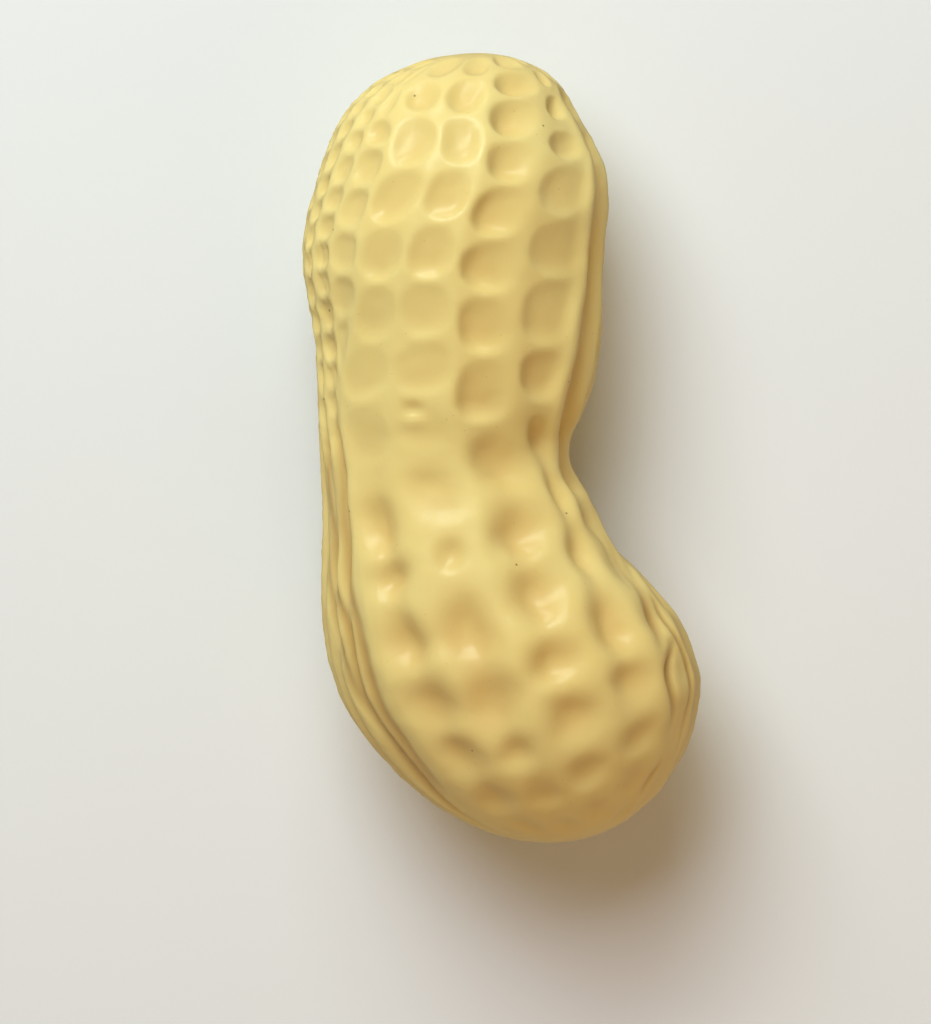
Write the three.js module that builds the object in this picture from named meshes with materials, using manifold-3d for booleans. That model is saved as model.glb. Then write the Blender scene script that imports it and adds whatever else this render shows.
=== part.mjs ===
// A glazed ceramic peanut in its shell, one solid piece that lies on its side on two small flat feet.
// The frame: +X along the peanut towards its smaller lobe, +Z up, the hollow of its bend facing -Y, and the
// origin on the table under the middle of its box. Lengths are millimetres and angles are degrees.
import * as THREE from "three";
import { mergeVertices } from "three/addons/utils/BufferGeometryUtils.js";
import Module from "manifold-3d";

// Driving dimensions.
const LENGTH = 187; // pole to pole, along X
const SMALL_END_X = 94.3; // where the pole of the smaller lobe is
const FOOT_CUT = 1.3; // how much of each lobe's underside is ground off to make its foot
const RIB_RISE = { main: 0.8, between: 0.25 }; // of the long ribs above the body
const RIB_SPREAD = 6.5; // degrees from a rib's crest to where it has sunk into the body
const DEEPEST = 2.4; // floor of a full dimple below the body
const DEPTH_SHARE = 0.16; // a small dimple is this deep, as a share of its own width
const SQUARENESS = 2.6; // a dimple's outline, from 2, an ellipse, towards a square
const WALL = { flatness: 2.5, softness: 2 }; // a dimple's floor, and how gently it meets the surface
const DEPTH_RANGE = { least: 0.8, more: 0.35 }; // how much dimples of one size differ in depth
const ROW_SHIFT = { everySecond: 0.035, stray: 0.012 }; // of the plain rows, as shares of the length
const RIBS_RISE = { from: 0.05, to: 0.4 }; // how far from the poles the ribs rise, as a sine
const FACETS = { perColumn: 4, along: 66 }; // across each column of dimples, and from pole to pole

// Cross sections of the body, from the small end (at 0) to the large end (at 1). across is the centre's Y,
// slant turns the section about Z, width is half the girth before the ends round it off, and height is the
// section's half height as a share of that.
const SECTIONS = {
  at: [0, 0.07, 0.16, 0.27, 0.37, 0.46, 0.53, 0.6, 0.68, 0.77, 0.87, 1],
  across: [4.5, 9.5, 9.5, 12, 10.5, 12, 14, 11, 8, -1, -12.5, -23],
  slant: [-3, -2, -1, 0, 0, 2, 7, 12, 15, 18, 20, 20],
  width: [62, 52.5, 47, 40.3, 35.1, 32.1, 29.4, 33.4, 38.9, 48.4, 55, 58],
  height: [0.96, 0.96, 0.96, 0.96, 0.95, 0.94, 0.94, 0.94, 0.93, 0.92, 0.92, 0.93],
};
// Where the two lobes are fullest, and so where they rest.
const FEET = [0.25, 0.775];
// From the middle of a foot: no dimples inside the first, full dimples outside the second.
const FOOT_CLEAR = { inside: 12, outside: 22 };

// The long ribs run from pole to pole. They are numbered round from the crown rib, by degrees from it, the
// positive way towards -Y, and all wander together about the body by DRIFT.
const RIBS = [0, 27, 54, 77, 100, 122, 144, 166, 188, 210, 232, 250, 267, 279, 291, 303, 315, 336];
const DRIFT = {
  at: [0, 0.1, 0.2, 0.3, 0.4, 0.47, 0.55, 0.65, 0.75, 0.85, 1],
  by: [13, 11, 4, 1, -2, 0, 8, 6, 0, -5, -9],
};
// Dimples between two ribs, from the small end to the large one. The four columns on the crown are laid out
// by hand, and the others follow the plain one with a shift of their own.
const ROWS = {
  crown: [
    0.01, 0.041, 0.085, 0.144, 0.208, 0.278, 0.352, 0.433,
    0.525, 0.61, 0.695, 0.776, 0.852, 0.917, 0.968,
  ],
  crownOuter: [
    0.007, 0.03, 0.068, 0.117, 0.176, 0.253, 0.335, 0.418,
    0.503, 0.583, 0.669, 0.757, 0.833, 0.9, 0.951, 0.985,
  ],
  crownInner: [
    0.018, 0.058, 0.117, 0.189, 0.26, 0.332, 0.408, 0.482,
    0.563, 0.632, 0.716, 0.796, 0.866, 0.926, 0.974,
  ],
  plain: [
    0.02, 0.061, 0.118, 0.193, 0.262, 0.335, 0.412, 0.486,
    0.573, 0.637, 0.707, 0.779, 0.845, 0.908, 0.957, 0.988,
  ],
};
const CROWN_COLUMNS = { 0: ROWS.crown, 1: ROWS.crownOuter, 17: ROWS.crownInner, 16: ROWS.plain };
// How the dimples change along the body: depth as a share of the deepest, and size as a share of its cell.
const DIMPLES = {
  at: [0, 0.15, 0.3, 0.4, 0.5, 0.62, 0.75, 0.9, 1],
  depth: [0.6, 0.8, 0.75, 0.6, 0.62, 0.85, 1, 0.8, 0.5],
  size: [0.9, 0.94, 0.94, 0.92, 0.86, 0.82, 0.82, 0.84, 0.85],
};

const radians = THREE.MathUtils.degToRad;
const smoothstep = THREE.MathUtils.smoothstep;

// A smooth curve through a table's values, with the slope at each point taken from its neighbours.
function through(at, values, t) {
  const last = at.length - 1;
  const slope = (i) => {
    const [a, b] = [Math.max(i - 1, 0), Math.min(i + 1, last)];
    return (values[b] - values[a]) / (at[b] - at[a]);
  };
  let i = 0;
  while (i < last - 1 && t >= at[i + 1]) i += 1;
  const span = at[i + 1] - at[i];
  const p = (t - at[i]) / span;
  return (
    (2 * p ** 3 - 3 * p ** 2 + 1) * values[i] +
    (p ** 3 - 2 * p ** 2 + p) * span * slope(i) +
    (3 * p ** 2 - 2 * p ** 3) * values[i + 1] +
    (p ** 3 - p ** 2) * span * slope(i + 1)
  );
}

// The half width of the body at t, with both ends rounded off.
const halfWidth = (t) => through(SECTIONS.at, SECTIONS.width, t) * 2 * Math.sqrt(Math.max(t * (1 - t), 0));
const halfHeight = (t) => halfWidth(t) * through(SECTIONS.at, SECTIONS.height, t);

// The height of the body's middle at t: a straight line that puts the underside of both lobes at -FOOT_CUT.
function middleHeight(t) {
  const [small, large] = FEET.map((foot) => halfHeight(foot) - FOOT_CUT);
  return THREE.MathUtils.mapLinear(t, FEET[0], FEET[1], small, large);
}

// A point of the smooth body, at t along it and turned degrees round it from its crown towards -Y.
function bodyPoint(t, turned) {
  const slant = radians(through(SECTIONS.at, SECTIONS.slant, t));
  const side = halfWidth(t) * Math.sin(radians(turned));
  return new THREE.Vector3(
    SMALL_END_X - LENGTH * t + side * Math.sin(slant),
    through(SECTIONS.at, SECTIONS.across, t) - side * Math.cos(slant),
    middleHeight(t) + halfHeight(t) * Math.cos(radians(turned)),
  );
}

// A repeatable number from 0 to 1 for each dimple, so that no two dimples are quite alike: the usual hash of
// two whole numbers by the far decimals of a sine.
function chance(column, row) {
  const x = Math.sin(column * 12.9898 + row * 78.233) * 43758.5453;
  return x - Math.floor(x);
}

// The dimple rows of a column, where the columns that have no list of their own are shifted by half a cell
// on every second one.
function rowsOf(column) {
  if (column in CROWN_COLUMNS) return CROWN_COLUMNS[column];
  const shift = column % 2 ? ROW_SHIFT.everySecond : 0;
  return ROWS.plain.map((t, row) => {
    const stray = ROW_SHIFT.stray * (chance(column, row) - 0.5);
    return t - (shift - stray) * Math.sin(Math.PI * t);
  });
}

// The way from the small pole over the rounded ends, as an angle from 0 to pi, so that dimples keep their
// shape where the body closes.
const wayTo = (t) => Math.acos(1 - 2 * t);

const COLUMNS = RIBS.map((start, column) => ({
  start,
  end: RIBS[column + 1] ?? 360,
  rows: rowsOf(column).map(wayTo),
}));

// The angle round the body of a place in the net of dimples: a share of the way across a column.
function turnedAt(t, { start, end }, share) {
  return through(DRIFT.at, DRIFT.by, t) + THREE.MathUtils.lerp(start, end, share);
}

// How far the ribs at a column's two edges raise it.
function ribHeight(number, column, share) {
  const rise = (rib) => (rib % 2 ? RIB_RISE.between : RIB_RISE.main);
  const bump = (away) => Math.exp(-((((column.end - column.start) * away) / RIB_SPREAD) ** 2));
  return rise(number) * bump(share) + rise((number + 1) % COLUMNS.length) * bump(1 - share);
}

// How far a column's nearest dimple sinks it.
function dimpleDepth(number, { start, end, rows }, share, t) {
  const last = rows.length - 1;
  const between = (row) => (rows[row] + rows[row + 1]) / 2;
  let row = 0;
  while (row < last && wayTo(t) > between(row)) row += 1;
  const low = row ? between(row - 1) : Math.max(2 * rows[0] - between(0), 0);
  const high = row < last ? between(row) : Math.min(2 * rows[row] - low, Math.PI);
  const size = through(DIMPLES.at, DIMPLES.size, t);
  const across = Math.abs(2 * share - 1) / size;
  const along = Math.abs((2 * wayTo(t) - low - high) / (high - low)) / size;
  const out = Math.min((across ** SQUARENESS + along ** SQUARENESS) ** (1 / SQUARENESS), 1);
  const width = radians(end - start) * halfWidth(t);
  const full = Math.min(DEEPEST * through(DIMPLES.at, DIMPLES.depth, t), DEPTH_SHARE * width);
  const own = DEPTH_RANGE.least + DEPTH_RANGE.more * chance(number, row);
  return full * own * (1 - out ** WALL.flatness) ** WALL.softness;
}

// 1 in the middle of a foot, 0 clear of both, so that the feet come out whole.
function footShare(point) {
  const nearest = Math.min(...FEET.map((t) => point.distanceTo(bodyPoint(t, 180))));
  return 1 - smoothstep(nearest, FOOT_CLEAR.inside, FOOT_CLEAR.outside);
}

// The shell's surface: a sphere whose poles become the ends of the peanut, moved onto the body and then in
// or out along the body's own normals. Its lines of longitude follow the ribs.
function shellSurface() {
  const sphere = new THREE.SphereGeometry(1, FACETS.perColumn * COLUMNS.length, FACETS.along);
  sphere.deleteAttribute("uv");
  sphere.deleteAttribute("normal");
  const surface = mergeVertices(sphere);
  const points = surface.getAttribute("position");
  const places = [];
  for (let i = 0; i < points.count; i += 1) {
    const t = (1 - points.getY(i)) / 2;
    const round = Math.atan2(-points.getZ(i), points.getX(i)) / (2 * Math.PI);
    const inColumns = THREE.MathUtils.euclideanModulo(round, 1) * COLUMNS.length;
    const number = Math.floor(inColumns);
    const share = inColumns - number;
    const point = bodyPoint(t, turnedAt(t, COLUMNS[number], share));
    places.push({ t, number, share, point });
    points.setXYZ(i, ...point);
  }
  surface.computeVertexNormals();
  const normal = new THREE.Vector3();
  places.forEach(({ t, number, share, point }, i) => {
    const column = COLUMNS[number];
    const ends = smoothstep(Math.sin(Math.PI * t), RIBS_RISE.from, RIBS_RISE.to);
    const relief = ribHeight(number, column, share) * ends - dimpleDepth(number, column, share, t);
    normal.fromBufferAttribute(surface.getAttribute("normal"), i);
    points.setXYZ(i, ...point.addScaledVector(normal, relief * (1 - footShare(point))));
  });
  surface.deleteAttribute("normal");
  return surface;
}

// A closed three.js geometry as a manifold-3d solid, and back.
function toSolid(wasm, geometry) {
  const vertProperties = geometry.getAttribute("position").array;
  return new wasm.Manifold(new wasm.Mesh({ numProp: 3, vertProperties, triVerts: geometry.index.array }));
}
function toGeometry(solid) {
  const { vertProperties, triVerts } = solid.getMesh();
  const geometry = new THREE.BufferGeometry();
  geometry.setAttribute("position", new THREE.BufferAttribute(vertProperties, 3));
  geometry.setIndex(new THREE.BufferAttribute(triVerts, 1));
  geometry.computeVertexNormals();
  return geometry;
}

// The block below the table, which is cut from the shell to leave its two feet flat.
function tableBlock() {
  const block = new THREE.BoxGeometry(2 * LENGTH, 2 * LENGTH, LENGTH).translate(0, 0, -LENGTH / 2);
  block.deleteAttribute("uv");
  block.deleteAttribute("normal");
  return mergeVertices(block);
}

const wasm = await Module();
wasm.setup();

const shell = toGeometry(toSolid(wasm, shellSurface()).subtract(toSolid(wasm, tableBlock())));
shell.computeBoundingBox();
const middle = shell.boundingBox.getCenter(new THREE.Vector3());

const glaze = new THREE.MeshStandardMaterial({ color: "#dcc07a", roughness: 0.2, metalness: 0 });
const peanut = new THREE.Mesh(shell, glaze);
peanut.name = "peanut";
peanut.position.set(-middle.x, -middle.y, 0);

const part = new THREE.Group();
part.add(peanut);

export default part;
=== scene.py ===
"""A large glazed ceramic peanut in its shell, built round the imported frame.

The frame: +X along the peanut towards its smaller lobe, +Z up, the hollow of its bend facing -Y, and the
origin on the table under the middle of its box. Sizes in the classes are millimetres and angles degrees.
Places on the shell are given by t, from 0 at the small end to 1 at the large end, and by their turn, which
is the degrees round it from its crown, the positive way towards -Y.
"""

import logging
import math
from dataclasses import dataclass, field
from enum import Enum

import bmesh
import bpy
import numpy as np
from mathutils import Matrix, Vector, noise


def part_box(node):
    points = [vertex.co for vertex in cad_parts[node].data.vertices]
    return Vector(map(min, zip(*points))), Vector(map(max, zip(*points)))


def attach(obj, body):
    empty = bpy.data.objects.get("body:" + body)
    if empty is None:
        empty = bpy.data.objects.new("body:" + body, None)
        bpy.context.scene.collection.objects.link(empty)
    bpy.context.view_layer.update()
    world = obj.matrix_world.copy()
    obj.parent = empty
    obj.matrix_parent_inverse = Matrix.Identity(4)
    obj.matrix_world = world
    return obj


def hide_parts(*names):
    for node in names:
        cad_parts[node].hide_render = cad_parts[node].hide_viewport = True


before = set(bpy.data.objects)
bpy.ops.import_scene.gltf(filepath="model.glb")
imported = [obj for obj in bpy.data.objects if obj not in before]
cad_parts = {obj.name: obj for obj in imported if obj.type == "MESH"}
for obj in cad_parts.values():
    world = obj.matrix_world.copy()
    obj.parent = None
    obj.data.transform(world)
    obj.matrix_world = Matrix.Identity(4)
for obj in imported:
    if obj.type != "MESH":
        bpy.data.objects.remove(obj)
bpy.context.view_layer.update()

MM = 0.001
NOTHING = 1e-6

log = logging.getLogger("peanut")


class Layer(Enum):
    """The weights and attributes that the shell's mesh carries."""

    HOLLOW = "hollow"
    RIB = "rib"
    POOL = "pool"
    CREASE = "crease"


@dataclass(frozen=True)
class Course:
    """A value that changes smoothly along the peanut, through the stations it is given."""

    at: tuple[float, ...]
    values: tuple[float, ...]

    def __call__(self, t: np.ndarray | float) -> np.ndarray:
        """Reads the value off.

        Args:
            t: places along the peanut.

        Returns:
            The value at each of them.
        """
        at, values = np.array(self.at), np.array(self.values)
        t = np.clip(t, at[0], at[-1])
        before, after = np.r_[0, 0 : len(at) - 1], np.r_[1 : len(at), len(at) - 1]
        slopes = (values[after] - values[before]) / (at[after] - at[before])
        i = np.clip(np.searchsorted(at, t, side="right") - 1, 0, len(at) - 2)
        span = at[i + 1] - at[i]
        p = (t - at[i]) / span
        return (
            (2 * p**3 - 3 * p**2 + 1) * values[i]
            + (p**3 - 2 * p**2 + p) * span * slopes[i]
            + (3 * p**2 - 2 * p**3) * values[i + 1]
            + (p**3 - p**2) * span * slopes[i + 1]
        )


def smoothstep(x: np.ndarray, low: float, high: float) -> np.ndarray:
    """Rises from 0 at low to 1 at high with no corner at either."""
    p = np.clip((x - low) / (high - low), 0, 1)
    return p * p * (3 - 2 * p)


def way_to(t: np.ndarray | float) -> np.ndarray:
    """The way from the small end over the rounded ends, as an angle from 0 to pi."""
    return np.arccos(np.clip(1 - 2 * np.asarray(t, float), -1, 1))


def level(value: float) -> Course:
    """A value that stays the same from end to end."""
    return Course((0, 1), (value, value))


SECTION_AT = (0, 0.07, 0.16, 0.27, 0.37, 0.46, 0.53, 0.6, 0.68, 0.77, 0.87, 1)

# How many degrees the crown's rib, and all the others with it, drift round the body on their way.
DRIFT = Course(
    (0, 0.1, 0.2, 0.3, 0.4, 0.47, 0.55, 0.65, 0.75, 0.85, 1),
    (13, 11, 4, 1, -2, 0, 8, 6, 0, -5, -9),
)


@dataclass(frozen=True)
class Body:
    """The smooth body under the ribs and dimples, as cross sections from end to end.

    across is how far each section's middle lies towards +Y, slant the degrees that it is turned to follow the
    bend, width half its width before the ends are rounded off, and height its height as a share of its width.
    """

    length: float = 187.0
    small_end_x: float = 94.3
    foot_cut: float = 1.3
    feet_at: tuple[float, float] = (0.25, 0.775)
    across: Course = Course(SECTION_AT, (4.5, 9.5, 9.5, 12, 10.5, 12, 14, 11, 8, -1, -12.5, -23))
    slant: Course = Course(SECTION_AT, (-3, -2, -1, 0, 0, 2, 7, 12, 15, 18, 20, 20))
    width: Course = Course(SECTION_AT, (62, 52.5, 47, 40.3, 35.1, 32.1, 29.4, 33.4, 38.9, 48.4, 55, 58))
    height: Course = Course(
        SECTION_AT,
        (0.96, 0.96, 0.96, 0.96, 0.95, 0.94, 0.94, 0.94, 0.93, 0.92, 0.92, 0.93),
    )

    def half_width(self, t: np.ndarray | float) -> np.ndarray:
        """Half the width of the section at t, rounded off towards both ends."""
        return self.width(t) * 2 * np.sqrt(np.maximum(t * (1 - np.asarray(t)), 0))

    def half_height(self, t: np.ndarray | float) -> np.ndarray:
        """Half the height of the section at t."""
        return self.half_width(t) * self.height(t)

    def middle(self, t: float) -> Vector:
        """The middle of the section at t, with the underside of both lobes just below the table."""
        low, high = (self.half_height(foot) - self.foot_cut for foot in self.feet_at)
        share = (t - self.feet_at[0]) / (self.feet_at[1] - self.feet_at[0])
        up = low + (high - low) * share
        return Vector((self.small_end_x - self.length * t, float(self.across(t)), float(up)))


@dataclass(frozen=True)
class Rib:
    """One of the long ribs: its degrees from the crown's rib, how high it stands and how it strays."""

    turn: float
    rise: Course = level(0.35)
    stray: Course = level(0)


# The share of a dimple's depth that runs on to the next one: a shallow saddle on the large lobe.
VALLEY = Course((0, 0.46, 0.58, 0.85, 1), (0, 0, 0.3, 0.3, 0))


@dataclass(frozen=True)
class Column:
    """The dimples between one rib and the next, by their middles along the peanut.

    depth and size are each one's share of the usual depth and size there, lean how much deeper it is on the
    side of the rib before it, dip how much deeper towards the large end, and channel the share of the usual
    depth that runs on between them.
    """

    rows: tuple[float, ...]
    depth: tuple[float, ...]
    size: tuple[float, ...] = ()
    lean: Course = level(0)
    dip: Course = level(0)
    channel: Course = VALLEY


@dataclass(frozen=True)
class Mark:
    """A small dent that stands apart from the rows, or a bump where its depth is below 0."""

    t: float
    turn: float
    along: float
    across: float
    depth: float


@dataclass(frozen=True)
class Crease:
    """A thin groove along a flank: its turn from the crown's rib and its depth on the way, and its width."""

    turn: Course
    depth: Course
    width: float


FADING = Course((0, 0.46, 0.58, 1), (0.7, 0.7, 0.15, 0.1))

RIBS = (
    Rib(
        0,
        Course((0, 0.1, 0.35, 0.5, 0.7, 1), (0.5, 0.6, 0.5, 0.3, 0.1, 0.1)),
        Course((0, 0.45, 0.55, 0.7, 0.85, 1), (0, 0, 3, 3, 1, 0)),
    ),
    Rib(
        27,
        level(0.15),
        Course((0, 0.05, 0.12, 0.25, 0.4, 0.5, 0.64, 0.72, 0.8, 1), (8, 9, 0, -1, -1, 7, 10, 8, 3, 0)),
    ),
    Rib(
        54,
        Course((0, 0.1, 0.3, 0.48, 0.6, 1), (0.4, 1, 1.3, 1.2, 0.3, 0.2)),
        Course((0, 0.2, 0.3, 0.42, 0.5, 1), (0, 3, 4, -1, 1, 0)),
    ),
    Rib(77, FADING),
    Rib(100, level(0.8)),
    Rib(122, level(0.4)),
    Rib(144, level(0.8)),
    Rib(166, level(0.4)),
    Rib(188, level(0.8)),
    Rib(210, level(0.4)),
    Rib(232, level(0.8)),
    Rib(250, level(0.5)),
    Rib(267, level(0.5)),
    Rib(279, FADING),
    Rib(291, FADING),
    Rib(303, Course((0, 0.4, 0.55, 1), (0.3, 0.3, 0.15, 0.1))),
    Rib(
        315,
        Course((0, 0.15, 0.4, 0.55, 0.8, 1), (0.5, 0.6, 0.5, 0.3, 0.1, 0.1)),
        Course(
            (0, 0.05, 0.12, 0.27, 0.33, 0.42, 0.55, 0.62, 0.74, 0.82, 1),
            (-6, -5, 3, 3, 1, -9, -12, -8, 0, 2, 0),
        ),
    ),
    Rib(
        336,
        Course((0, 0.12, 0.4, 0.55, 1), (0.3, 0.4, 0.2, 0, 0)),
        Course(
            (0, 0.06, 0.11, 0.26, 0.33, 0.48, 0.56, 0.66, 0.8, 1),
            (-2, 0, 4, 3, 0, -4, -9, -1, 3, -2),
        ),
    ),
)

# The middles of the dimples in a regular column: eight on the small lobe and eight on the large one.
PLAIN_ROWS = (
    (0.02, 0.061, 0.118, 0.193, 0.262, 0.335, 0.412, 0.486)
    + (0.573, 0.637, 0.707, 0.779, 0.845, 0.908, 0.957, 0.988)
)

# The columns over the crown and down to both flanks, by the rib that each lies after.
CROWN_COLUMNS = {
    15: Column(
        (0.012, 0.033, 0.075, 0.107, 0.149, 0.205, 0.255, 0.315, 0.375, 0.44)
        + (0.52, 0.6, 0.68, 0.76, 0.83, 0.9, 0.955),
        (0.7, 0.9, 1, 1, 1, 1, 0.9, 0.8, 0.7, 0.6, 0.6, 0.6, 0.6, 0.6, 0.6, 0.5, 0.4),
        channel=Course((0, 0.4, 0.6, 1), (0, 0.15, 0.1, 0)),
    ),
    16: Column(
        (0.02, 0.064, 0.118, 0.193, 0.262, 0.335, 0.412, 0.486)
        + (0.588, 0.65, 0.72, 0.798, 0.862, 0.917, 0.96),
        (0.8, 1.1, 1, 1.1, 1, 0.6, 0.6, 0.6, 1, 0.85, 1, 0.95, 0.9, 0.9, 0.6),
        (1, 0.9, 1, 1, 1, 1, 1, 1, 0.9, 0.85, 1, 1.05, 1, 0.9, 0.8),
        dip=level(0.5),
    ),
    17: Column(
        (0.018, 0.058, 0.117, 0.189, 0.26, 0.332, 0.408, 0.482)
        + (0.566, 0.637, 0.732, 0.814, 0.876, 0.93, 0.975),
        (0.8, 1.1, 1, 1.1, 1.1, 0.7, 0.65, 0.4, 0.45, 0.5, 1.3, 1.2, 0.9, 0.8, 0.6),
        (1, 1, 1, 0.95, 1, 1, 1, 0.9, 1, 0.5, 1.1, 1.2, 0.75, 0.75, 0.7),
        dip=level(0.5),
    ),
    0: Column(
        (0.01, 0.041, 0.085, 0.144, 0.208, 0.278, 0.352, 0.433)
        + (0.535, 0.628, 0.712, 0.793, 0.864, 0.924, 0.97),
        (0.8, 1.2, 1.4, 1.4, 1.4, 1.3, 1.2, 1.3, 1.1, 1.2, 1.2, 1.3, 1.2, 0.9, 0.7),
        (1, 1, 1, 1, 1, 1, 1, 1, 0.95, 0.95, 0.95, 0.9, 0.85, 0.75, 0.7),
        lean=Course((0, 0.1, 0.4, 0.6, 1), (0.4, 0.9, 0.9, 0.35, 0.2)),
        dip=level(0.65),
    ),
    1: Column(
        (0.007, 0.03, 0.068, 0.117, 0.176, 0.253, 0.335, 0.418)
        + (0.505, 0.59, 0.679, 0.771, 0.845, 0.906, 0.953, 0.985),
        (0.7, 0.9, 1.3, 1.2, 0.9, 0.8, 0.9, 1.4, 1.6, 1.3, 1, 1.3, 1, 0.8, 0.7, 0.5),
        (0.8, 0.8, 0.75, 0.8, 1, 1, 1, 0.9, 0.85, 0.75, 0.8, 1, 0.9, 0.8, 0.8, 0.8),
        lean=Course((0, 0.1, 0.4, 0.6, 1), (0.3, 0.6, 0.6, 0.35, 0.2)),
        dip=level(0.4),
    ),
    2: Column(
        PLAIN_ROWS,
        (0.7, 0.9, 1, 1, 0.8, 0.8, 0.9, 0.8, 0.8, 0.6, 0.4, 0.4, 0.4, 0.5, 0.5, 0.4),
        channel=Course((0, 0.1, 0.2, 0.44, 0.52, 0.66, 1), (0, 0.4, 1.5, 1.9, 1, 0.1, 0)),
    ),
}

# A small dent with a bump beside it at the waist, and a faint hollow just past it.
MARKS = (
    Mark(0.458, 344, 1.6, 2.6, 0.9),
    Mark(0.474, 344, 1.8, 3.2, -0.6),
    Mark(0.548, 340, 2.2, 5.5, 0.3),
)

# Three long creases on the +Y flank and four short ones on the -Y flank, all on the large lobe.
CREASES = (
    Crease(
        Course((0.6, 0.65, 0.71, 0.79), (276, 281, 289, 297)),
        Course((0.58, 0.64, 0.74, 0.81), (0, 0.8, 0.9, 0)),
        1.9,
    ),
    Crease(
        Course((0.45, 0.54, 0.62, 0.7, 0.8, 0.91), (290, 279, 285, 296, 300, 297)),
        Course((0.42, 0.5, 0.62, 0.76, 0.88, 0.95), (0, 0.8, 1, 1.2, 1, 0)),
        2.2,
    ),
    Crease(
        Course((0.45, 0.52, 0.58, 0.63, 0.72, 0.8, 0.88), (302, 295, 293, 298, 306, 307, 305)),
        Course((0.42, 0.5, 0.62, 0.76, 0.86, 0.92), (0, 0.8, 1, 1.1, 0.8, 0)),
        2.4,
    ),
    Crease(
        Course((0.69, 0.72, 0.745, 0.79, 0.83), (86, 71, 67, 64, 59)),
        Course((0.69, 0.73, 0.78, 0.83), (0, 0.5, 1.3, 0)),
        2.4,
    ),
    Crease(
        Course((0.76, 0.8, 0.84, 0.93), (73, 72.5, 75.5, 73)),
        Course((0.74, 0.79, 0.87, 0.95), (0, 1, 1, 0)),
        1.2,
    ),
    Crease(
        Course((0.82, 0.845, 0.87, 0.9), (68, 60, 58, 61)),
        Course((0.81, 0.84, 0.87, 0.92), (0, 1.3, 1.2, 0)),
        1.8,
    ),
    Crease(
        Course((0.945, 0.965), (57, 51)),
        Course((0.93, 0.955, 0.98), (0, 0.7, 0)),
        1.4,
    ),
)


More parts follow.
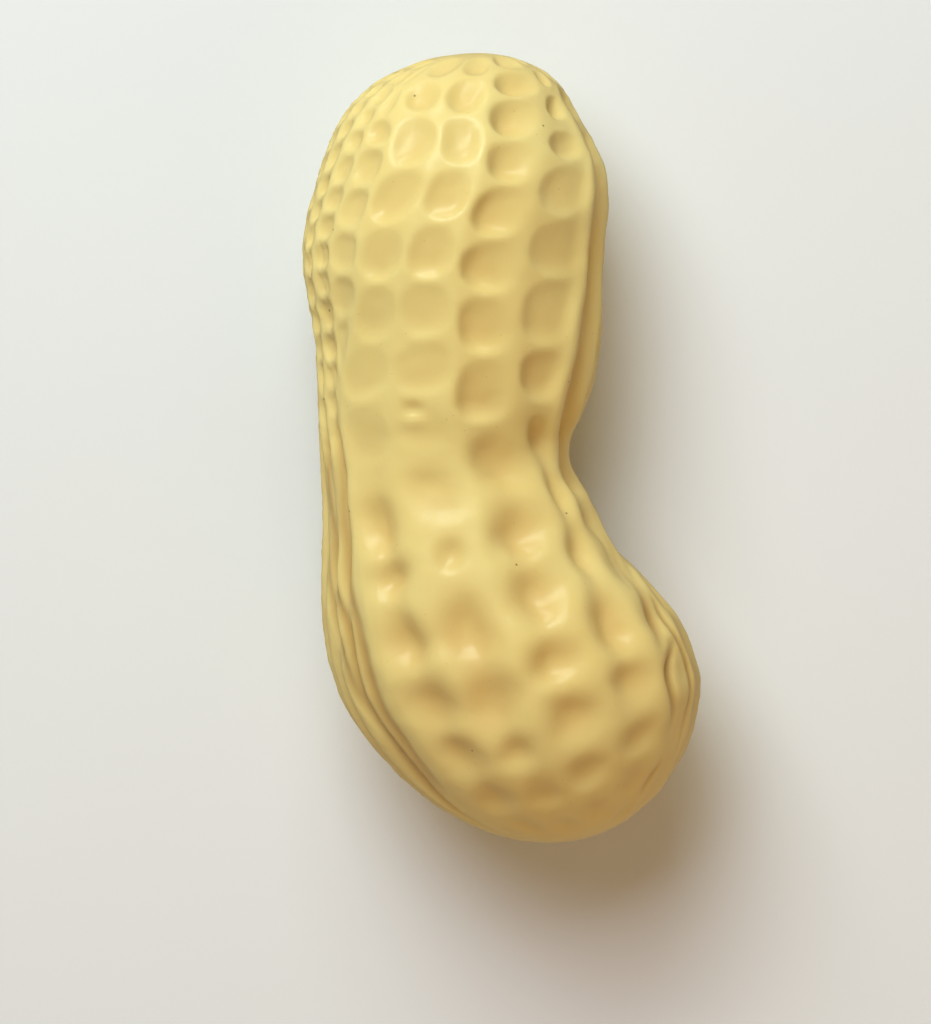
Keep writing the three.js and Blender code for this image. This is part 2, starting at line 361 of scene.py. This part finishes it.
@dataclass
class DimpleNet:
    """The ribs and the columns of dimples between them, as heights and depths on the shell.

    On the small lobe a dimple is a cell with a flat floor and a wall, and on the large lobe a soft bowl that
    runs together with its neighbours. Columns narrower than narrow, in degrees, keep their cells, faded.
    """

    body: Body
    deepest: float = 2.3
    bowls_from: tuple[float, float] = (0.44, 0.56)
    deepest_bowl: float = 3.2
    bowl_share: float = 0.43
    bowl_length: float = 0.39
    bowl_steepness: float = 0.5
    largest_bowl: float = 6.9
    bowl_flatness: float = 1.2
    least_bowl: float = 2.0
    bowl_reach: float = 2.0
    narrow: float = 19.0
    fading: float = 0.7
    row_shift: float = 0.035
    row_stray: float = 0.012
    depth_range: tuple[float, float] = (0.85, 0.3)
    plain_flank: tuple[float, float] = (0.8, 0.95)
    flank_fades: tuple[float, float] = (0.5, 0.6)
    flank_fading: float = 0.6
    narrow_channel: float = 0.7
    plain_channel: float = 0.25
    ends_fade: tuple[float, float] = (0.03, 0.35)
    steepness: float = 0.16
    groove_narrowness: float = 1.8
    tallest: float = 0.8
    rib_width: float = 2.8
    wobble: Course = Course((0, 0.3, 0.55, 1), (0.8, 0.9, 1.5, 1.5))
    wobble_size: float = 13.0
    wobble_apart: float = 40.0
    vein: float = 0.35
    vein_spacing: float = 2.8
    vein_length: float = 60.0
    vein_narrowness: float = 2.2
    vein_flank: tuple[float, float] = (0.76, 0.95)
    vein_slice: float = 0.37
    vein_standing: Course = Course((0, 0.1, 0.4, 0.52, 0.88, 1), (0, 0.7, 0.8, 0.5, 0.4, 0))
    seed: int = 7
    fullness: Course = Course((0, 0.15, 0.3, 0.45, 1), (0.94, 0.97, 0.97, 0.98, 1))
    depth: Course = Course(
        (0, 0.06, 0.2, 0.3, 0.4, 0.5, 0.62, 0.75, 0.83, 0.9, 1),
        (0.55, 0.65, 0.5, 0.5, 0.5, 0.7, 0.95, 1, 0.8, 0.55, 0.3),
    )
    flatness: Course = Course((0, 0.15, 0.3, 0.45, 1), (2.8, 2.9, 3.5, 3.3, 2.0))
    squareness: Course = Course((0, 0.25, 0.4, 0.55, 1), (2.2, 2.3, 2.5, 2.1, 2.0))
    softness: Course = Course((0, 0.25, 0.4, 0.55, 1), (1.35, 1.3, 1.35, 2, 2))
    columns: dict[int, Column] = field(default_factory=dict)

    def __post_init__(self) -> None:
        """Fills in the columns that have no rows of their own."""
        self.random = np.random.default_rng(self.seed)
        for number in range(len(RIBS)):
            self.columns[number] = CROWN_COLUMNS.get(number) or self._plain_column(number)

    def _plain_column(self, number: int) -> Column:
        """Rows for a column at the sides or underneath, shifted by half a cell on every second one."""
        rows = np.array(PLAIN_ROWS)
        if self._breadth(number) < self.narrow:
            rows = np.sort(np.r_[rows, (rows[1:] + rows[:-1]) / 2])
        shift = self.row_shift if number % 2 else 0.0
        shift = shift - self.row_stray * (self.random.random(len(rows)) - 0.5)
        middle = RIBS[number].turn + self._breadth(number) / 2
        flank = smoothstep(abs(math.sin(math.radians(middle))), *self.plain_flank)
        least, spread = self.depth_range
        depth = least + spread * self.random.random(len(rows))
        depth = depth * (1 - self.flank_fading * flank * smoothstep(rows, *self.flank_fades))
        runs_on = self.narrow_channel if self._breadth(number) < self.narrow else self.plain_channel
        channel = Course((0, 0.35, 0.5, 0.85, 1), (0, 0.1, runs_on, runs_on, 0))
        return Column(tuple(rows - shift * np.sin(np.pi * rows)), tuple(depth), channel=channel)

    def _breadth(self, number: int) -> float:
        """How many degrees a column takes up."""
        return (RIBS[(number + 1) % len(RIBS)].turn - RIBS[number].turn) % 360

    def turn_of(self, around: np.ndarray) -> np.ndarray:
        """Where a share of the way round the shell lies, in degrees from the crown's rib.

        Args:
            around: shares from 0 to 1, of which each column takes up the same.

        Returns:
            The degrees.
        """
        turns = np.array([rib.turn for rib in RIBS] + [360.0])
        return np.interp(around * len(RIBS), np.arange(len(turns)), turns)

    def heights(
        self, places: np.ndarray, t: np.ndarray, turn: np.ndarray
    ) -> tuple[np.ndarray, np.ndarray, np.ndarray]:
        """Works out the relief of the shell.

        Args:
            places: points of the smooth body, in millimetres.
            t: how far along the peanut each is.
            turn: its degrees from the crown's rib.

        Returns:
            How deep the dimples sink each place, how high the ribs lift it, and how deep the creases cut it
            besides, all in millimetres.
        """
        ends = smoothstep(np.sin(np.pi * t), *self.ends_fade)
        around_mm = np.radians(self.body.half_width(t))
        strays = self._wander(places) * self.wobble(t)[:, None]
        t = np.clip(t + ends * strays[:, 0] / self.body.length, 0, 1)
        turn = turn + ends * strays[:, 1] / np.maximum(around_mm, NOTHING)
        sunk, lifted = np.zeros_like(t), self._veins(t, turn, around_mm)
        bowled = smoothstep(t, *self.bowls_from)
        for number, column in self.columns.items():
            rib, following = RIBS[number], RIBS[(number + 1) % len(RIBS)]
            breadth = self._breadth(number) + following.stray(t) - rib.stray(t)
            share = ((turn - rib.turn - rib.stray(t) + 180) % 360 - 180) / breadth
            inside = (share >= 0) & (share < 1)
            across_mm = breadth * around_mm
            pits = self._dimples(column, t[inside], share[inside], across_mm[inside])
            groove = self._groove(column, t[inside], share[inside], across_mm[inside])
            if self._breadth(number) > self.narrow:
                pits *= 1 - bowled[inside]
                sunk += bowled * self._bowls(number, column, t, share, across_mm)
            else:
                pits *= 1 - self.fading * bowled[inside]
            sunk[inside] += np.maximum(pits, groove)
            away = share * across_mm / self.rib_width
            lifted += self.tallest * rib.rise(t) * ends * np.exp(-(away**2))
        creased = np.zeros_like(t)
        for crease in CREASES:
            across = ((turn - crease.turn(t) + 180) % 360 - 180) * around_mm / crease.width
            creased += crease.depth(t) * np.exp(-(across**2))
        for mark in MARKS:
            along = (t - mark.t) * self.body.length / mark.along
            across = ((turn - mark.turn + 180) % 360 - 180) * around_mm / mark.across
            shape = np.exp(-(along**2) - across**2)
            sunk += max(mark.depth, 0) * shape
            lifted += max(-mark.depth, 0) * shape
        return sunk, lifted, creased

    def _wander(self, places: np.ndarray) -> np.ndarray:
        """How the net strays at each place, along and across the peanut, as shares of the wobble."""
        spots = [Vector(place) / self.wobble_size for place in places]
        elsewhere = Vector((0, 0, self.wobble_apart))
        return np.array([(noise.noise(spot), noise.noise(spot + elsewhere)) for spot in spots])

    def _dimples(self, column: Column, t: np.ndarray, share: np.ndarray, breadth: np.ndarray) -> np.ndarray:
        """How deep a column's dimples sink the places in it.

        Args:
            column: the column.
            t: places along the peanut.
            share: how far each is across the column, from 0 to 1.
            breadth: the column's width there, in millimetres.

        Returns:
            Depths in millimetres.
        """
        rows = way_to(np.array(column.rows))
        first, last = max(1.5 * rows[0] - 0.5 * rows[1], 0), min(1.5 * rows[-1] - 0.5 * rows[-2], np.pi)
        edges = np.r_[first, (rows[1:] + rows[:-1]) / 2, last]
        way = way_to(t)
        row = np.clip(np.searchsorted(edges, way) - 1, 0, len(rows) - 1)
        size = np.minimum(self.fullness(t), 1) * np.array(column.size or [1.0] * len(rows))[row]
        flat, square = self.flatness(t), self.squareness(t)
        sideways = (2 * share - 1) / size
        along = (2 * way - edges[row] - edges[row + 1]) / (edges[row + 1] - edges[row]) / size
        out = np.clip((np.abs(sideways) ** square + np.abs(along) ** square) ** (1 / square), 0, 1)
        own = np.array(column.depth)[row] * (1 - column.lean(t) * sideways) * (1 + column.dip(t) * along)
        return self._full_depth(t, breadth) * own * (1 - out**flat) ** self.softness(t)

    def _full_depth(self, t: np.ndarray, breadth: np.ndarray) -> np.ndarray:
        """How deep a dimple or a groove of the usual depth is in a column of this breadth, in millimetres."""
        return np.minimum(self.deepest * self.depth(t), self.steepness * breadth)

    def _groove(self, column: Column, t: np.ndarray, share: np.ndarray, breadth: np.ndarray) -> np.ndarray:
        """How deep the groove that runs on along a column sinks the places in it, in millimetres."""
        off = self.groove_narrowness * (2 * share - 1)
        return self._full_depth(t, breadth) * column.channel(t) * np.exp(-(off**2))

    def _bowls(
        self, number: int, column: Column, t: np.ndarray, share: np.ndarray, breadth: np.ndarray
    ) -> np.ndarray:
        """How deep a column's dimples sink everything near it where they are soft bowls that run together.

        Args:
            number: the column's.
            column: the column.
            t: places along the peanut.
            share: how far each is across the column, from 0 to 1 inside it.
            breadth: the column's width there, in millimetres.

        Returns:
            Depths in millimetres.
        """
        rows = np.array(column.rows)
        size = np.array(column.size or [1.0] * len(rows))
        following = RIBS[(number + 1) % len(RIBS)]
        degrees = self._breadth(number) + following.stray(rows) - RIBS[number].stray(rows)
        at, middles = self._run(t), self._run(rows)
        across = self.bowl_share * degrees * np.radians(self.body.half_width(rows))
        across = np.clip(across, self.least_bowl, self.largest_bowl) * size
        along = self.bowl_length * np.gradient(middles)
        along = np.clip(along, self.least_bowl, self.largest_bowl) * size
        deep = np.minimum(self.deepest_bowl * self.depth(rows) * column.depth, self.bowl_steepness * across)
        near = np.abs(share - 0.5) < self.bowl_reach
        sideways = (share[near] - 0.5) * breadth[near]
        sunk = np.zeros_like(t)
        for middle, high, wide, depth in zip(middles, along, across, deep):
            off = ((at[near] - middle) / high) ** 2 + (sideways / wide) ** 2
            leaning = 1 - column.lean(t[near]) * np.tanh(sideways / wide)
            sunk[near] += depth * np.exp(-(off**self.bowl_flatness)) * leaning
        return sunk

    def _run(self, t: np.ndarray) -> np.ndarray:
        """The way from the small end to t over the body's surface, in millimetres."""
        stations = (1 - np.cos(np.linspace(0, np.pi, 400))) / 2
        steps = np.hypot(np.diff(stations) * self.body.length, np.diff(self.body.half_width(stations)))
        return np.interp(t, stations, np.r_[0, np.cumsum(steps)])

    def _veins(self, t: np.ndarray, turn: np.ndarray, around_mm: np.ndarray) -> np.ndarray:
        """Thin wavy ridges that run along both flanks, most of all on the small lobe.

        Args:
            t: places along the peanut.
            turn: their degrees from the crown's rib.
            around_mm: how many millimetres round the body a degree is there.

        Returns:
            Heights in millimetres.
        """
        along = t * self.body.length / self.vein_length
        round_it = turn * around_mm / self.vein_spacing
        waves = np.array([noise.noise(Vector((a, r, self.vein_slice))) for a, r in zip(along, round_it)])
        flank = smoothstep(np.abs(np.sin(np.radians(turn + DRIFT(t)))), *self.vein_flank)
        ridges = (1 - np.clip(self.vein_narrowness * np.abs(waves), 0, 1)) ** 2
        return self.vein * flank * self.vein_standing(t) * ridges


class MeshBench:
    """Edit-mode work on one mesh, with its vertices chosen by number."""

    def __init__(self, piece: bpy.types.Object) -> None:
        """Opens the piece for editing."""
        self.piece = piece
        bpy.ops.object.mode_set(mode="EDIT")
        bpy.ops.mesh.select_mode(type="VERT")

    def pick(self, chosen: set[int]) -> None:
        """Selects just these vertices."""
        mesh = bmesh.from_edit_mesh(self.piece.data)
        for vertex in mesh.verts:
            vertex.select = vertex.index in chosen
        mesh.select_flush_mode()
        bmesh.update_edit_mesh(self.piece.data, loop_triangles=False, destructive=False)

    def close(self) -> None:
        """Leaves edit mode."""
        bpy.ops.object.mode_set(mode="OBJECT")


@dataclass
class PeanutShell:
    """The whole shell: a coarse cage that is shaped ring by ring, smoothed, dimpled and set on its feet."""

    body: Body
    net: DimpleNet
    rings: int = 38
    levels: int = 3
    ripple: float = 0.45
    ripple_size: float = 9.0
    headroom: float = 2.0
    rib_thinning: float = 0.6
    foot_clear: tuple[float, float] = (12.0, 22.0)

    def build(self) -> bpy.types.Object:
        """Makes the shell's mesh in the frame.

        Returns:
            The finished piece, with its place in its mesh.
        """
        piece = self._cage()
        self._smooth(piece)
        t, turn = self._places(piece)
        self._dimple(piece, t, turn)
        self._set_down(piece)
        return piece

    def _cage(self) -> bpy.types.Object:
        """A sphere with two meridians to a column of dimples, its rings moved onto the body's sections."""
        bpy.ops.object.select_all(action="DESELECT")
        radius = float(self.body.half_width(0.25)) * MM
        meridians = 2 * len(RIBS)
        bpy.ops.mesh.primitive_uv_sphere_add(
            segments=meridians, ring_count=self.rings, radius=radius, rotation=(0, math.pi / 2, 0)
        )
        piece = bpy.context.object
        piece.name = piece.data.name = "peanut_shell"
        bpy.ops.object.transform_apply(location=True, rotation=True, scale=True)
        rings: dict[int, set[int]] = {}
        lines: dict[int, set[int]] = {}
        for vertex in piece.data.vertices:
            ring = round(math.acos(max(-1, min(1, vertex.co.x / radius))) / math.pi * self.rings)
            rings.setdefault(ring, set()).add(vertex.index)
            if 0 < ring < self.rings:
                around = math.atan2(-vertex.co.y, vertex.co.z) / math.tau
                lines.setdefault(round(around * meridians) % meridians, set()).add(vertex.index)
        bench = MeshBench(piece)
        for line, chosen in lines.items():
            wanted = float(self.net.turn_of(np.array(line / meridians)))
            bench.pick(chosen)
            self._turn("X", wanted - 360 * line / meridians, Vector((0, 0, 0)))
        for ring, chosen in rings.items():
            bench.pick(chosen)
            self._shape_ring(math.pi * ring / self.rings, radius)
        bench.close()
        return piece

    def _shape_ring(self, way: float, radius: float) -> None:
        """Moves the selected ring onto its section of the body.

        Args:
            way: the ring's angle from the small end.
            radius: of the sphere that it starts on, in metres.
        """
        t = (1 - math.cos(way)) / 2
        start = Vector((radius * math.cos(way), 0, 0))
        middle = self.body.middle(t) * MM
        across = radius * math.sin(way)
        self._turn("X", float(DRIFT(t)), start)
        if across > NOTHING * MM:
            halves = (self.body.half_width(t), self.body.half_height(t))
            wide, high = (float(half) * MM / across for half in halves)
            bpy.ops.transform.resize(value=(1, wide, high), center_override=start)
        self._turn("Z", float(self.body.slant(t)), start)
        bpy.ops.transform.translate(value=middle - start)

    @staticmethod
    def _turn(axis: str, degrees: float, centre: Vector) -> None:
        """Turns what is selected by the right-hand rule about an axis."""
        bpy.ops.transform.rotate(value=-math.radians(degrees), orient_axis=axis, center_override=centre)

    def _smooth(self, piece: bpy.types.Object) -> None:
        """Subdivides the cage into the body's smooth surface."""
        smooth = piece.modifiers.new("smooth", "SUBSURF")
        smooth.levels = smooth.render_levels = self.levels
        bpy.ops.object.modifier_apply(modifier=smooth.name)
        bpy.ops.object.shade_smooth()

    def _places(self, piece: bpy.types.Object) -> tuple[np.ndarray, np.ndarray]:
        """Reads each vertex's place on the shell off the map that the sphere came with.

        Returns:
            t and the degrees from the crown's rib, for each vertex.
        """
        mesh = piece.data
        corners = np.empty(len(mesh.loops), np.int32)
        mesh.loops.foreach_get("vertex_index", corners)
        flat = np.empty(len(mesh.loops) * 2, np.float32)
        mesh.uv_layers[0].uv.foreach_get("vector", flat)
        place = np.empty((len(mesh.vertices), 2))
        place[corners] = flat.reshape(-1, 2)
        t = (1 + np.cos(np.pi * np.clip(place[:, 1], 0, 1))) / 2
        return t, self.net.turn_of(np.clip(place[:, 0], 0, 1))

    def _dimple(self, piece: bpy.types.Object, t: np.ndarray, turn: np.ndarray) -> None:
        """Sinks the dimples and creases, lifts the ribs, and leaves as attributes where the glaze pools and
        how deep the creases are, the second for the painted shade in the creases.
        """
        sunk, lifted, creased = self.net.heights(points_of(piece) / MM, t, turn)
        clear = 1 - self._foot_share(piece, t)
        self._displace(piece, Layer.HOLLOW, (sunk + creased) * clear, -self.net.deepest_bowl * self.headroom)
        self._displace(piece, Layer.RIB, lifted * clear, self.net.tallest * self.headroom)
        clouds = bpy.data.textures.new("casting ripple", "CLOUDS")
        clouds.noise_scale = self.ripple_size * MM
        clouds.noise_depth = 1
        ripple = piece.modifiers.new("ripple", "DISPLACE")
        ripple.texture, ripple.strength, ripple.mid_level = clouds, self.ripple * MM, 0.5
        bpy.ops.object.modifier_apply(modifier=ripple.name)
        pooled = (sunk - self.rib_thinning * lifted) * clear / self.net.deepest_bowl
        for layer, values in ((Layer.POOL, pooled), (Layer.CREASE, creased * clear)):
            kept = piece.data.attributes.new(layer.value, "FLOAT", "POINT")
            kept.data.foreach_set("value", values.astype(np.float32))

    def _displace(self, piece: bpy.types.Object, layer: Layer, heights: np.ndarray, most: float) -> None:
        """Moves the surface along its normals, by weights that are painted in a group.

        Args:
            piece: the shell.
            layer: the group's name.
            heights: how far to move each vertex, in millimetres.
            most: the move at full weight, below 0 for inwards.
        """
        group = piece.vertex_groups.new(name=layer.value)
        for index, weight in enumerate((heights / abs(most)).tolist()):
            if weight > 0:
                group.add([index], weight, "REPLACE")
        move = piece.modifiers.new(layer.value, "DISPLACE")
        move.vertex_group, move.strength, move.mid_level = group.name, most * MM, 0.0
        bpy.ops.object.modifier_apply(modifier=move.name)
        piece.vertex_groups.remove(piece.vertex_groups[layer.value])

    def _foot_share(self, piece: bpy.types.Object, t: np.ndarray) -> np.ndarray:
        """1 where a foot will be and 0 well clear of both, so that no dimple breaks into a foot."""
        places = points_of(piece) / MM
        nearest = np.full(len(places), np.inf)
        for foot in self.body.feet_at:
            under = np.array(self.body.middle(foot)) - (0, 0, float(self.body.half_height(foot)))
            nearest = np.minimum(nearest, np.linalg.norm(places - under, axis=1))
        return 1 - smoothstep(nearest, *self.foot_clear)

    def _set_down(self, piece: bpy.types.Object) -> None:
        """Presses both feet flat on the table, and puts the shell in the middle of the frame's box."""
        heights = points_of(piece)[:, 2]
        bench = MeshBench(piece)
        bench.pick(set(np.flatnonzero(heights < 0).tolist()))
        bpy.ops.transform.resize(value=(1, 1, 0), center_override=(0, 0, 0))
        bpy.ops.mesh.select_all(action="SELECT")
        low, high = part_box("peanut")
        places = points_of(piece)
        shift = (low + high) / 2 - Vector((places.min(axis=0) + places.max(axis=0)) / 2)
        bpy.ops.transform.translate(value=(shift.x, shift.y, 0))
        bench.close()


def points_of(piece: bpy.types.Object) -> np.ndarray:
    """Every vertex of a piece, in metres, as it is outside edit mode."""
    found = np.empty(len(piece.data.vertices) * 3, np.float32)
    piece.data.vertices.foreach_get("co", found)
    return found.reshape(-1, 3).astype(float)


def linear(code: str) -> tuple[float, float, float, float]:
    """Turns an sRGB hex colour into the linear one that a shader takes."""
    parts = [int(code[i : i + 2], 16) / 255 for i in (1, 3, 5)]
    r, g, b = (p / 12.92 if p <= 0.04045 else ((p + 0.055) / 1.055) ** 2.4 for p in parts)
    return r, g, b, 1.0


def add_node(
    tree: bpy.types.NodeTree, kind: str, links: dict | None = None, **settings: object
) -> bpy.types.Node:
    """Adds one node to a tree.

    Args:
        tree: where it goes.
        kind: its type, without the word ShaderNode.
        links: what each input takes: an output socket to link, or a value to hold.
        settings: its own properties.

    Returns:
        The node.
    """
    node = tree.nodes.new("ShaderNode" + kind)
    for name, value in settings.items():
        setattr(node, name, value)
    for name, source in (links or {}).items():
        if isinstance(source, bpy.types.NodeSocket):
            tree.links.new(source, node.inputs[name])
        else:
            node.inputs[name].default_value = source
    return node


@dataclass(frozen=True)
class PooledGlaze:
    """A cream-yellow gloss glaze over slip-cast earthenware, and the bare clay of the feet.

    The glaze runs thin and pale over the ribs and pools warmer in the dimples, and the creases carry painted
    shade, a browner colour laid on by their depth. Its gloss gives crisp small glints on the dimples' walls,
    broken up because its surface is a little wavy, and iron in the clay comes through it as small dark
    specks. The clay of the feet is matt and paler. The sizes are millimetres.
    """

    name: str = "slip-cast earthenware with a pooled yellow gloss glaze"
    thin: str = "#eadf98"
    even: str = "#e2d18b"
    pooled: str = "#dac07c"
    warm: str = "#dfc479"
    # painted shade: the darker brown laid into the creases, standing in for the shade that falls in them
    painted_crease_shade: str = "#b08a4c"
    clay: str = "#d6c5a8"
    speck: str = "#5f4422"
    freckle: str = "#a98544"
    speck_radius: float = 0.38
    speck_spacing: float = 8.5
    freckle_radius: float = 0.2
    freckle_spacing: float = 3.6
    mottle: float = 26.0
    wave: float = 3.2
    wave_height: float = 0.16
    glaze_line: float = 0.35
    roughness: tuple[float, float] = (0.3, 0.4)
    bare_roughness: float = 0.9
    coat: float = 0.32
    most_warm: float = 0.4
    # how much of the painted crease shade the deepest creases take
    most_painted_crease_shade: float = 0.7
    most_freckle: float = 0.45
    most_speck: float = 0.8

    def material(self) -> bpy.types.Material:
        """Builds the glaze with the bare clay of the feet.

        Returns:
            The material.
        """
        made = bpy.data.materials.new(self.name)
        made.use_nodes = True
        tree = made.node_tree
        tree.nodes.clear()
        place = add_node(tree, "TexCoord").outputs["Object"]
        bare = self._bare(tree, place)
        wave = add_node(tree, "TexNoise", {"Vector": place, "Scale": 1 / (self.wave * MM), "Detail": 1.0})
        bump = add_node(
            tree,
            "Bump",
            {"Strength": 0.5, "Distance": self.wave_height * MM, "Height": wave.outputs[0]},
        )
        least, most = self.roughness
        gloss = add_node(
            tree,
            "MapRange",
            {"Value": wave.outputs[0], "From Min": 0.3, "From Max": 0.7, "To Min": least, "To Max": most},
        )
        shader = add_node(
            tree,
            "BsdfPrincipled",
            {
                "Base Color": self._colour(tree, place, bare),
                "Roughness": self._mix(tree, bare, gloss.outputs[0], self.bare_roughness),
                "Normal": bump.outputs["Normal"],
                "Coat Weight": self._mix(tree, bare, self.coat, 0.0),
                "Coat Roughness": 0.18,
                "IOR": 1.5,
                "Specular IOR Level": 0.3,
                "Subsurface Weight": 0.05,
                "Subsurface Radius": (1.0, 0.7, 0.35),
                "Subsurface Scale": 0.002,
            },
        )
        add_node(tree, "OutputMaterial", {"Surface": shader.outputs["BSDF"]})
        return made

    def _bare(self, tree: bpy.types.NodeTree, place: bpy.types.NodeSocket) -> bpy.types.NodeSocket:
        """1 on the feet, which are wiped clean of glaze up to the glaze line, and 0 above it."""
        height = add_node(tree, "SeparateXYZ", {"Vector": place}).outputs["Z"]
        edge = {"Value": height, "From Min": self.glaze_line * MM, "From Max": 0.4 * self.glaze_line * MM}
        return add_node(tree, "MapRange", edge).outputs[0]

    def _colour(
        self, tree: bpy.types.NodeTree, place: bpy.types.NodeSocket, bare: bpy.types.NodeSocket
    ) -> bpy.types.NodeSocket:
        """The glaze's colour: by its thickness, mottled, darkened with painted shade in the creases, specked,
        and giving way to clay on the feet.

        Args:
            tree: where the nodes go.
            place: object coordinates.
            bare: 1 on the bare clay.

        Returns:
            The colour.
        """
        pool = add_node(tree, "Attribute", attribute_name=Layer.POOL.value).outputs["Fac"]
        thickness = add_node(tree, "MapRange", {"Value": pool, "From Min": -0.35, "From Max": 1.0}).outputs[0]
        ramp = add_node(tree, "ValToRGB", {"Fac": thickness})
        stops = ((0.0, self.thin), (1.0, self.pooled), (0.3, self.even))
        for index, (position, colour) in enumerate(stops):
            stop = ramp.color_ramp.elements[index] if index < 2 else ramp.color_ramp.elements.new(position)
            stop.position, stop.color = position, linear(colour)
        mottle = add_node(tree, "TexNoise", {"Vector": place, "Scale": 1 / (self.mottle * MM), "Detail": 3.0})
        share = add_node(
            tree,
            "MapRange",
            {"Value": mottle.outputs[0], "From Min": 0.45, "From Max": 0.75, "To Max": self.most_warm},
        )
        colour = self._blend(tree, share.outputs[0], ramp.outputs["Color"], self.warm)
        # Painted shade: the creases are browned by their depth, in place of the shade that falls in them.
        crease = add_node(tree, "Attribute", attribute_name=Layer.CREASE.value).outputs["Fac"]
        painted_crease_shade = add_node(
            tree, "MapRange", {"Value": crease, "From Min": 0.2, "From Max": 1.1, "To Max": self.most_painted_crease_shade}
        )
        colour = self._blend(tree, painted_crease_shade.outputs[0], colour, self.painted_crease_shade)
        for hue, radius, spacing, most in (
            (self.freckle, self.freckle_radius, self.freckle_spacing, self.most_freckle),
            (self.speck, self.speck_radius, self.speck_spacing, self.most_speck),
        ):
            colour = self._blend(tree, self._specks(tree, place, radius, spacing, most), colour, hue)
        return self._blend(tree, bare, colour, self.clay)

    @staticmethod
    def _specks(
        tree: bpy.types.NodeTree, place: bpy.types.NodeSocket, radius: float, spacing: float, most: float
    ) -> bpy.types.NodeSocket:
        """Round specks scattered through the clay, cut by its surface.

        Args:
            tree: where the nodes go.
            place: object coordinates.
            radius: of the largest speck, in millimetres.
            spacing: from one speck to the next in the clay, in millimetres.
            most: how much of the glaze's colour a speck takes at its middle.

        Returns:
            The share of speck.
        """
        cells = add_node(tree, "TexVoronoi", {"Vector": place, "Scale": 1 / (spacing * MM)})
        away, reach = cells.outputs["Distance"], radius / spacing
        near = {"Value": away, "From Min": reach, "From Max": 0.4 * reach, "To Max": most}
        return add_node(tree, "MapRange", near).outputs[0]

    @staticmethod
    def _mix(
        tree: bpy.types.NodeTree,
        share: bpy.types.NodeSocket,
        glazed: bpy.types.NodeSocket | float,
        bare: float,
    ) -> bpy.types.NodeSocket:
        """A number that goes from the glaze's to the bare clay's."""
        return add_node(tree, "Mix", {0: share, 2: glazed, 3: bare}).outputs[0]

    @staticmethod
    def _blend(
        tree: bpy.types.NodeTree, share: bpy.types.NodeSocket, under: bpy.types.NodeSocket, over: str
    ) -> bpy.types.NodeSocket:
        """Lays a share of a hex colour over what is there."""
        return add_node(tree, "Mix", {0: share, 6: under, 7: linear(over)}, data_type="RGBA").outputs[2]


@dataclass
class Studio:
    """A plain pale floor, soft light, and the camera looking straight down with the small lobe at the top.

    The camera stands stand_off above mid_height, where its view takes in view_height from top to bottom.
    """

    view_height: float = 244.742
    mid_height: float = 37.0
    stand_off: float = 2000.0
    look_at: tuple[float, float] = (-15.5, 8.6)
    floor_radius: float = 3.0
    glow: float = 0.3

    def build(self) -> None:
        """Makes the floor, the lights, the world and the camera."""
        self._floor()
        self._lights()
        self._camera()
        bpy.context.scene.view_settings.view_transform = "Standard"

    def _floor(self) -> None:
        """A pale matt floor, which is not part of the object."""
        bpy.ops.object.select_all(action="DESELECT")
        bpy.ops.mesh.primitive_circle_add(vertices=96, radius=self.floor_radius, fill_type="NGON")
        floor = bpy.context.object
        floor.name = "floor"
        paper = bpy.data.materials.new("matt pale board")
        paper.use_nodes = True
        shader = paper.node_tree.nodes["Principled BSDF"]
        shader.inputs["Base Color"].default_value = linear("#e4ecf6")
        shader.inputs["Roughness"].default_value = 0.9
        floor.data.materials.append(paper)
        floor.visible_glossy = False

    def _lights(self) -> None:
        """The world's warm glow and four lamps, of which two leave glints on the glaze.

        A window beyond the small lobe and a low skyline behind it leave the glints. A broad sky over them
        lights the rest, and a weak warm bounce lifts the shade beside the large lobe.
        """
        world = bpy.data.worlds.new("studio")
        world.use_nodes = True
        background = world.node_tree.nodes["Background"]
        background.inputs["Color"].default_value = linear("#f8d6aa")
        background.inputs["Strength"].default_value = self.glow
        bpy.context.scene.world = world
        for name, place, size, watts, colour, glints in (
            ("window", (0.92, 0.25, 0.88), (0.95, 0.36), 6.2, "#effff0", True),
            ("sky", (0.72, 0.38, 1.2), (0.9, 0.9), 12.1, "#ffffff", False),
            ("skyline", (1.25, 0.3, 0.4), (0.5, 0.16), 1.5, "#ffffff", True),
            ("bounce", (-0.6, -0.35, 0.4), (0.5, 0.5), 1.0, "#ffbf86", False),
        ):
            bpy.ops.object.light_add(type="AREA", location=place)
            lamp = bpy.context.object
            lamp.name = name
            lamp.data.energy = watts
            lamp.data.color = linear(colour)[:3]
            lamp.data.shape = "RECTANGLE"
            lamp.data.size, lamp.data.size_y = size
            lamp.rotation_euler = (-Vector(place)).to_track_quat("-Z", "Y").to_euler()
            lamp.visible_glossy = glints

    def _camera(self) -> None:
        """The camera straight above the peanut, turned to have its small lobe at the top."""
        low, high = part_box("peanut")
        middle = (low + high) / 2
        up = self.mid_height + self.stand_off
        place = (middle.x + self.look_at[0] * MM, middle.y + self.look_at[1] * MM, up * MM)
        bpy.ops.object.camera_add(location=place, rotation=(0, 0, -math.pi / 2))
        camera = bpy.context.object
        camera.data.lens = camera.data.sensor_width * self.stand_off / self.view_height
        bpy.context.scene.camera = camera


def main() -> None:
    """Builds the peanut and its studio."""
    logging.basicConfig(level=logging.INFO, format="%(name)s: %(message)s")
    body = Body()
    shell = PeanutShell(body, DimpleNet(body)).build()
    shell.data.materials.append(PooledGlaze().material())
    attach(shell, "root")
    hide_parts("peanut")
    log.info("%s: %d faces", shell.name, len(shell.data.polygons))
    Studio().build()


if __name__ == "__main__":
    main()
